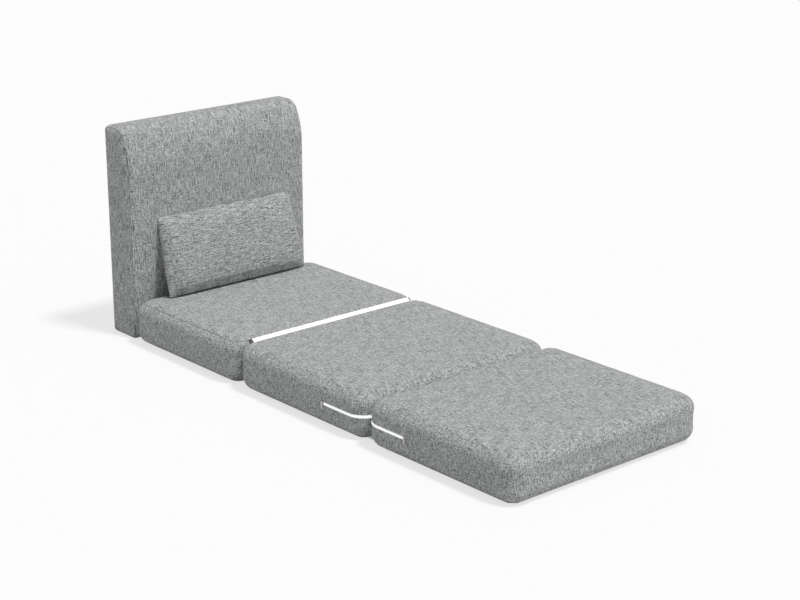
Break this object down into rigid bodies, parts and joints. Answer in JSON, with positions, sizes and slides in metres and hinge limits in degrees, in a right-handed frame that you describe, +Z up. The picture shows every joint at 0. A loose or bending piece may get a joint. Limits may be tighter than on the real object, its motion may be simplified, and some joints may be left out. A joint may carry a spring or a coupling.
{
  "type": "convertible chair bed",
  "caption": "Fold-out foam chair bed with an upright backrest, hinged floor cushions that stack into a seat, and a loose lumbar pillow, shown opened out.",
  "frame": {"origin": "middle of the seat cushion's underside, on the floor", "axes": "+Y from the foot end towards the backrest, +Z up, +X to the right for someone who faces the backrest"},
  "size_m": [0.7045, 1.7995, 0.655],
  "materials": {
    "grey_fabric": "light grey melange linen weave",
    "pillow_fabric": "light grey melange linen weave",
    "cushion_foam": "open-cell foam, matt",
    "pillow_fibre": "loose polyester fibre",
    "white_webbing": "plain white webbing",
    "zip_coil": "white nylon coil on woven tape",
    "slider_metal": "plated die casting"
  },
  "bodies": {
    "base": {"backrest_foam": "cushion_foam", "backrest_zip_chain": "zip_coil", "backrest_wrap_panel": "grey_fabric", "backrest_left_side_panel": "grey_fabric", "backrest_right_side_panel": "grey_fabric", "seat_foam": "cushion_foam", "seat_zip_chain": "zip_coil", "seat_base_panel": "grey_fabric", "seat_border": "grey_fabric", "seat_top_panel": "grey_fabric", "front_hinge_strip": "white_webbing", "floor_hinge_strip": "white_webbing", "backrest_joining_strip": "white_webbing"},
    "middle_cushion": {"middle_foam": "cushion_foam", "middle_zip_chain": "zip_coil", "middle_base_panel": "grey_fabric", "middle_border": "grey_fabric", "middle_top_panel": "grey_fabric"},
    "foot_cushion": {"foot_foam": "cushion_foam", "foot_zip_chain": "zip_coil", "foot_base_panel": "grey_fabric", "foot_border": "grey_fabric", "foot_top_panel": "grey_fabric"},
    "pillow": {"pillow_cover": "pillow_fabric", "pillow_filling": "pillow_fibre"},
    "backrest_slider": {"backrest_zip_slider": "slider_metal"},
    "backrest_pull": {"backrest_zip_pull": "slider_metal"},
    "seat_slider": {"seat_zip_slider": "slider_metal"},
    "seat_pull": {"seat_zip_pull": "slider_metal"},
    "middle_slider": {"middle_zip_slider": "slider_metal"},
    "middle_pull": {"middle_zip_pull": "slider_metal"},
    "foot_slider": {"foot_zip_slider": "slider_metal"},
    "foot_pull": {"foot_zip_pull": "slider_metal"}
  },
  "joints": [
    {"name": "middle_fold", "type": "hinge", "parent": "base", "child": "middle_cushion", "pos_m": [0, -0.285, 0.1315], "axis": [-1, 0, 0], "range_deg": [0, 180], "deforming": ["front_hinge_strip"]},
    {"name": "foot_fold", "type": "hinge", "parent": "middle_cushion", "child": "foot_cushion", "pos_m": [0, -0.835, -0.0005], "axis": [1, 0, 0], "range_deg": [0, 180], "deforming": ["floor_hinge_strip"]},
    {"name": "pillow_lift", "type": "slide", "parent": "base", "child": "pillow", "axis": [0, 0, 1], "range_m": [0, 0.66]},
    {"name": "middle_zip", "type": "slide", "parent": "middle_cushion", "child": "middle_slider", "axis": [0, -1, 0], "range_m": [0, 0.105]},
    {"name": "foot_zip", "type": "slide", "parent": "foot_cushion", "child": "foot_slider", "axis": [0, 1, 0], "range_m": [0, 0.105]},
    {"name": "seat_zip", "type": "slide", "parent": "base", "child": "seat_slider", "axis": [1, 0, 0], "range_m": [0, 0.565]},
    {"name": "backrest_zip", "type": "slide", "parent": "base", "child": "backrest_slider", "axis": [1, 0, 0], "range_m": [0, 0.565]},
    {"name": "middle_pull_swing", "type": "hinge", "parent": "middle_slider", "child": "middle_pull", "pos_m": [-0.3529, -0.6665, 0.069], "axis": [0, 1, 0], "range_deg": [0, 120]},
    {"name": "foot_pull_swing", "type": "hinge", "parent": "foot_slider", "child": "foot_pull", "pos_m": [-0.3529, -1.0035, 0.069], "axis": [0, 1, 0], "range_deg": [0, 120]},
    {"name": "seat_pull_swing", "type": "hinge", "parent": "seat_slider", "child": "seat_pull", "pos_m": [-0.2845, 0.2679, 0.069], "axis": [1, 0, 0], "range_deg": [0, 8]},
    {"name": "backrest_pull_swing", "type": "hinge", "parent": "backrest_slider", "child": "backrest_pull", "pos_m": [-0.2845, 0.3969, 0.069], "axis": [1, 0, 0], "range_deg": [0, 120]}
  ],
  "couplings": [
    {"joint": "foot_fold", "follows": "middle_fold", "ratio": 1},
    {"joint": "pillow_lift", "follows": "middle_fold", "m_per_rad": 0.21}
  ]
}
